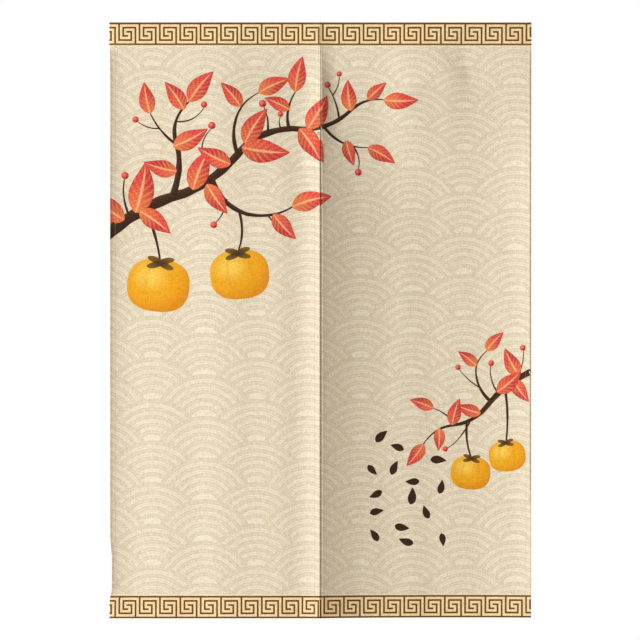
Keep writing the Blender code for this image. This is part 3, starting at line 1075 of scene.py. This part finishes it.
def boughShape(bough):
    # the curve a(1-t)^2 + 2b t(1-t) + c t^2, from thick to thin with a slight knotty waver, and lighter
    # along one side
    start = np.array([bough.startAcross, bough.startDown])
    bend = np.array([bough.bendAcross, bough.bendDown])
    end = np.array([bough.endAcross, bough.endDown])
    count = int(np.linalg.norm(end - start) / spray["boughStep"]) + 6
    t = np.linspace(0.0, 1.0, count)[:, None]
    path = start * (1 - t) ** 2 + 2 * bend * t * (1 - t) + end * t**2
    phase = 40.0 * bough.startAcross + 25.0 * bough.startDown
    width = bough.thick + (bough.thin - bough.thick) * t[:, 0]
    waver = np.sin(0.5 * count * t[:, 0] + phase) * np.sin(np.pi * t[:, 0])
    width = width * (1.0 + spray["knots"] * waver)
    share = np.linspace(-1.0, 1.0, spray["boughPlaces"])
    points = pathGrid(path, width / 2, share)
    shade = np.broadcast_to(0.7 * ease(-share, -0.2, 1.0), points.shape[:2])
    colours = mixHex(spray["bark"], spray["barkLight"], shade)
    faces = gridQuads(np.arange(count * len(share)).reshape(count, -1))
    return points.reshape(-1, 2), faces.tolist(), colours.reshape(-1, 4)


# places across a leaf from rim to rim, closer together at the rims and at the midrib
leafPlaces = np.array(
    [-1.0, -0.9, -0.75, -0.55, -0.35, -0.16, -0.06, 0.06, 0.16, 0.35, 0.55, 0.75, 0.9, 1.0]
)


def leafShape(leaf, isDark=False):
    # The midrib bends sideways by t^2, and the half width is sin(pi t^0.8)^0.9, to a drawn-out tip.
    # The colour goes from gold at the stalk to red, one half is deeper and so is the rim, and side
    # veins leave the midrib at a slant.
    t = np.linspace(0.0, 1.0, spray["darkLeafRows"] if isDark else spray["leafRows"])
    heading = math.radians(leaf.heading)
    ahead = np.array([math.sin(heading), -math.cos(heading)])
    beside = np.array([-ahead[1], ahead[0]])
    path = np.array([leaf.across, leaf.down]) + leaf.length * (
        t[:, None] * ahead + leaf.bend * (t**2)[:, None] * beside
    )
    swell = np.abs(np.sin(np.pi * t**0.8)) ** 0.9 * (1.0 - 0.25 * t)
    half = spray["leafWidth"] / 2 * leaf.length * swell + 0.0003
    points = pathGrid(path, half, leafPlaces).reshape(-1, 2)
    faces = gridQuads(np.arange(len(points)).reshape(len(t), -1)).tolist()
    if isDark:
        return points, faces, mixHex(spray["bark"], spray["barkLight"], np.zeros(len(points)))
    side, along = np.meshgrid(leafPlaces, t)
    deep = 0.10 + 0.55 * ease(side, -0.10, 0.10) + 0.30 * ease(np.abs(side), 0.8, 1.0)
    colours = mixHex(spray["leafRed"], spray["leafDeep"], np.clip(deep, 0, 1))
    warmth = 0.35 + 0.40 * math.sin(61.0 * leaf.across + 37.0 * leaf.down) ** 2
    away = np.abs(side)
    colours = blend(colours, spray["leafGold"], warmth * (1 - ease(along + 0.15 * away, 0.0, 0.75)))
    slant = ease(np.cos(2 * np.pi * (7.0 * along - 1.6 * away)), 0.55, 0.95) * (away < 0.95)
    midrib = (1 - ease(away, 0.06, 0.16)) * (1 - ease(along, 0.80, 0.98))
    vein = np.maximum(0.85 * midrib, 0.50 * slant * (1 - 0.5 * along))
    colours = blend(colours, spray["leafVein"], vein)
    return points, faces, colours.reshape(-1, 4)


def discShape(centre, width, height, lean, outline, colourAt, rings=12, sides=56):
    # a polar grid: radius t * outline(angle), stretched to width and height, then leaned
    angle = np.linspace(0.0, 2 * np.pi, sides, endpoint=False)
    t = np.linspace(0.0, 1.0, rings + 1)[1:]
    radius = np.outer(t, outline(angle))
    x = np.concatenate([[0.0], (radius * np.cos(angle)).ravel()])
    y = np.concatenate([[0.0], (radius * np.sin(angle)).ravel()])
    colours = colourAt(x, y)
    turn = math.radians(lean)
    x, y = x * width / 2, y * height / 2
    points = np.stack([
        centre[0] + x * math.cos(turn) - y * math.sin(turn),
        centre[1] + x * math.sin(turn) + y * math.cos(turn),
    ], axis=-1)
    numbers = 1 + np.arange(rings * sides).reshape(rings, sides)
    following = np.roll(numbers, -1, axis=1)
    quads = np.stack([numbers[:-1], following[:-1], following[1:], numbers[1:]], axis=-1).reshape(-1, 4)
    middle = np.stack([np.zeros(sides, int), following[0], numbers[0]], axis=-1)
    return points, quads.tolist() + middle.tolist(), colours


def fruitColour(x, y):
    # gold, deeper to the lower right and in two soft ribs, with a pale patch at the upper left
    distance = np.hypot(x + 0.30, y + 0.34)
    colours = mixHex(spray["fruitLight"], spray["fruit"], ease(distance, 0.05, 0.75))
    colours = blend(colours, spray["fruitDeep"], ease(distance, 0.75, 1.55))
    away = np.abs(x) - 0.42 * np.sqrt(np.clip(1 - y**2, 0, 1))
    ribs = 0.35 * np.exp(-((away / 0.045) ** 2)) * ease(-y, -0.9, 0.2)
    return blend(colours, spray["fruitDeep"], ribs)


def fruitOutline(angle):
    # a squat superellipse, |cos|^2.5 + |sin|^2.5 = 1
    return (np.abs(np.cos(angle)) ** 2.5 + np.abs(np.sin(angle)) ** 2.5) ** (-1 / 2.5)


def calyxOutline(angle):
    # four pointed lobes
    return 0.42 + 0.58 * np.abs(np.cos(2 * (angle - np.pi / 4))) ** 1.6


def calyxColour(x, y):
    # dark where the stalk meets it, and lighter towards the lobes' tips
    return mixHex(spray["calyxDark"], spray["calyx"], ease(np.hypot(x, y), 0.1, 0.8))


def fruitShapes(fruit):
    # the fruit, and its calyx near the top where the stalk meets it
    turn, size = math.radians(fruit.lean), fruit.size
    centre = (fruit.across, fruit.down)
    body = discShape(centre, size, spray["fruitHeight"] * size, fruit.lean, fruitOutline, fruitColour)
    up = spray["calyxUp"] * size
    centre = (fruit.across + math.sin(turn) * up, fruit.down - math.cos(turn) * up)
    width, height = spray["calyxWidth"] * size, spray["calyxHeight"] * size
    calyx = discShape(centre, width, height, fruit.lean, calyxOutline, calyxColour, rings=6, sides=48)
    return body, calyx


def berryColour(x, y):
    # red with a light patch, and a dark tip at the lower right
    colours = mixHex(spray["berryLight"], spray["berry"], ease(np.hypot(x + 0.3, y + 0.3), 0.1, 0.8))
    return blend(colours, spray["berryTip"], 1 - ease(np.hypot(x - 0.45, y - 0.5), 0.20, 0.36))


def sprayShapes():
    # Every shape with its level, from the boughs up to the leaves that lie over the fruit. A shape lies
    # one level above the highest earlier shape whose box it meets.
    shapes = [boughShape(bough) for bough in boughs]
    for fruit in fruits:
        shapes += fruitShapes(fruit)
    for berry in berries:
        centre = (berry.across, berry.down)
        shapes.append(discShape(
            centre, berry.size, berry.size, 0.0, np.ones_like, berryColour, rings=6, sides=20
        ))
    shapes += [leafShape(leaf) for leaf in leaves]
    shapes += [leafShape(leaf, isDark=True) for leaf in driftingLeaves]
    lows = np.array([shape[0].min(axis=0) for shape in shapes])
    highs = np.array([shape[0].max(axis=0) for shape in shapes])
    levels = np.zeros(len(shapes), int)
    for number in range(1, len(shapes)):
        meets = (lows[:number] < highs[number]).all(axis=1) & (highs[:number] > lows[number]).all(axis=1)
        levels[number] = 1 + max(levels[:number][meets], default=-1)
    return list(zip(levels.tolist(), shapes))


def cutFlat(points, faces, colours, bounds):
    # keeps what lies between two places across
    data = bpy.data.meshes.new("flat shape")
    data.from_pydata(np.column_stack([points, np.zeros(len(points))]).tolist(), [], faces)
    ink = data.color_attributes.new("ink", "FLOAT_COLOR", "POINT")
    ink.data.foreach_set("color", colours.astype(np.float32).ravel())
    work = bmesh.new()
    work.from_mesh(data)
    for place, outward in ((bounds[0], -1.0), (bounds[1], 1.0)):
        bmesh.ops.bisect_plane(
            work, geom=work.verts[:] + work.edges[:] + work.faces[:], plane_co=Vector((place, 0.0, 0.0)),
            plane_no=Vector((outward, 0.0, 0.0)), clear_outer=True,
        )
    work.to_mesh(data)
    work.free()
    keptPoints = np.zeros((len(data.vertices), 3), np.float32)
    data.vertices.foreach_get("co", keptPoints.ravel())
    keptColours = np.zeros((len(data.vertices), 4), np.float32)
    data.color_attributes["ink"].data.foreach_get("color", keptColours.ravel())
    keptFaces = [list(face.vertices) for face in data.polygons]
    bpy.data.meshes.remove(data)
    return keptPoints[:, :2].astype(float), keptFaces, keptColours.astype(float)


def faceAlong(data, sign):
    # turns each face whose normal points the wrong way along the depth
    work = bmesh.new()
    work.from_mesh(data)
    work.normal_update()
    wrong = [face for face in work.faces if face.normal.y * sign < 0]
    bmesh.ops.reverse_faces(work, faces=wrong)
    work.to_mesh(data)
    work.free()


def makePrint(side, shapes, face):
    # the front film lies on the cloth, and the back one is its paler ghost, where the ink comes through
    panel = panels[side]
    margin = spray["edgeGap"]
    if face == "back":
        margin = curtain["sideHem"] + curtain["hemStep"] + spray["backGap"]
    bounds = (panel["start"] + margin, panel["end"] - margin)
    pointParts, colourParts, flatParts, faces = [], [], [], []
    total = 0
    for level, (points, shapeFaces, shapeColours) in shapes:
        if points[:, 0].max() <= bounds[0] or points[:, 0].min() >= bounds[1]:
            continue
        flat, kept, colours = cutFlat(points, shapeFaces, shapeColours, bounds)
        if not kept:
            continue
        front, back = clothLifts(side, flat[:, 0], flat[:, 1])
        film = spray["film"] + spray["step"] * level
        lift = front + film if face == "front" else back - film
        pointParts.append(hang(side, flat[:, 0], flat[:, 1], lift))
        colourParts.append(colours)
        flatParts.append(flat)
        faces += [[number + total for number in corners] for corners in kept]
        total += len(flat)
    colours = np.concatenate(colourParts)
    if face == "back":
        colours = blend(colours, spray["reverseCloth"], 1 - spray["ghost"])
    name = panel["node"] + "_print" + ("" if face == "front" else "_reverse")
    data = bpy.data.meshes.new(name)
    data.from_pydata(np.concatenate(pointParts).tolist(), [], faces)
    faceAlong(data, -1.0 if face == "front" else 1.0)
    attribute = data.color_attributes.new("ink", "FLOAT_COLOR", "POINT")
    attribute.data.foreach_set("color", colours.astype(np.float32).ravel())
    corners = np.zeros(len(data.loops), np.int32)
    data.loops.foreach_get("vertex_index", corners)
    layer = data.uv_layers.new(name="flatCloth")
    layer.data.foreach_set("uv", np.concatenate(flatParts)[corners].astype(np.float32).ravel())
    data.materials.append(pigmentPrint)
    return newPiece(name, data)


shapes = sprayShapes()
prints = {side: [makePrint(side, shapes, face) for face in ("front", "back")] for side in panels}
print("printed the spray")


# The studio: a large soft light from the left and a little in front, a weaker one behind for the
# reverse, a surround that looks white and fills the shade warmly, and a pale floor
studio = dict(
    keyAngle=64.0,          # degrees from the camera's side round to the left
    keyDistance=10.0,
    keyWidth=3.0,
    keyHeight=5.0,
    keyPower=1462.0,
    keyColour="#F9FDFF",
    backAngle=155.0,
    backDistance=6.0,
    backWidth=2.5,
    backHeight=2.5,
    backPower=120.0,
    backColour="#FFFFFF",
    rise=0.04,              # of both lights, as a share of their distance
    surround=0.175,         # strength of the surround's fill light
    fillColour="#FFE6D0",
    shownColour="#FFFFFF",
    floorDown=2.0,
    floorHalf=6.0,
    floorColour="#F1EFEA",
    floorGlow=0.35,
    cameraDistance=10.734,
    cameraRight=-0.0008,
    cameraUp=0.0004,        # over the curtain's middle
    lens=300.0,
    sensor=36.0,
)


def setLight():
    # each softbox stands at its angle and distance around the curtain's middle and faces it
    middle = Vector((0.0, 0.0, -curtain["height"] / 2))
    for name in ("key", "back"):
        angle = math.radians(studio[name + "Angle"])
        lamp = bpy.data.lights.new(name + " softbox", "AREA")
        lamp.shape = "RECTANGLE"
        lamp.size, lamp.size_y = studio[name + "Width"], studio[name + "Height"]
        lamp.energy = studio[name + "Power"]
        lamp.color = linearColour(studio[name + "Colour"])[:3]
        softbox = bpy.data.objects.new(name + " softbox", lamp)
        away = Vector((-math.sin(angle), -math.cos(angle), studio["rise"]))
        softbox.location = middle + studio[name + "Distance"] * away
        softbox.rotation_euler = (middle - softbox.location).to_track_quat("-Z", "Y").to_euler()
        softbox.visible_camera = False
        bpy.context.scene.collection.objects.link(softbox)

    # the surround looks white, and fills the shadows softly
    world = bpy.data.worlds.new("white surround")
    tree = emptyTree(world)
    seen = addNode(tree, "LightPath", output="Is Camera Ray")
    strength = addNode(tree, "MapRange", (seen, 0.0, 1.0, studio["surround"], 1.0))
    filling = addNode(tree, "Background", (linearColour(studio["fillColour"]), strength))
    shown = addNode(tree, "Background", (linearColour(studio["shownColour"]), strength))
    surround = addNode(tree, "MixShader", (seen, filling, shown))
    addNode(tree, "OutputWorld", (surround,))
    bpy.context.scene.world = world


def setCamera():
    # straight on at the middle of the curtain, through a long lens
    camera = bpy.data.cameras.new("camera")
    camera.lens, camera.sensor_width = studio["lens"], studio["sensor"]
    viewer = bpy.data.objects.new("camera", camera)
    height = studio["cameraUp"] - curtain["height"] / 2
    viewer.location = (studio["cameraRight"], -studio["cameraDistance"], height)
    viewer.rotation_euler = (math.radians(90.0), 0.0, 0.0)
    bpy.context.scene.collection.objects.link(viewer)
    bpy.context.scene.camera = viewer
    bpy.context.scene.view_settings.view_transform = "Standard"


def layFloor():
    # matt paint that glows a little, so that the floor stays pale away from the light
    half, level = studio["floorHalf"], -studio["floorDown"]
    data = bpy.data.meshes.new("floor")
    corners = [(-half, -half, level), (half, -half, level), (half, half, level), (-half, half, level)]
    data.from_pydata(corners, [], [(0, 1, 2, 3)])
    paint = bpy.data.materials.new("matt floor paint")
    paint.use_nodes = True
    shader = paint.node_tree.nodes["Principled BSDF"]
    shader.inputs["Base Color"].default_value = linearColour(studio["floorColour"])
    shader.inputs["Roughness"].default_value = 0.9
    shader.inputs["Emission Color"].default_value = linearColour(studio["floorColour"])
    shader.inputs["Emission Strength"].default_value = studio["floorGlow"]
    data.materials.append(paint)
    floor = bpy.data.objects.new("floor", data)
    bpy.context.scene.collection.objects.link(floor)


setLight()
setCamera()
layFloor()
print("set the light, the camera and the floor")
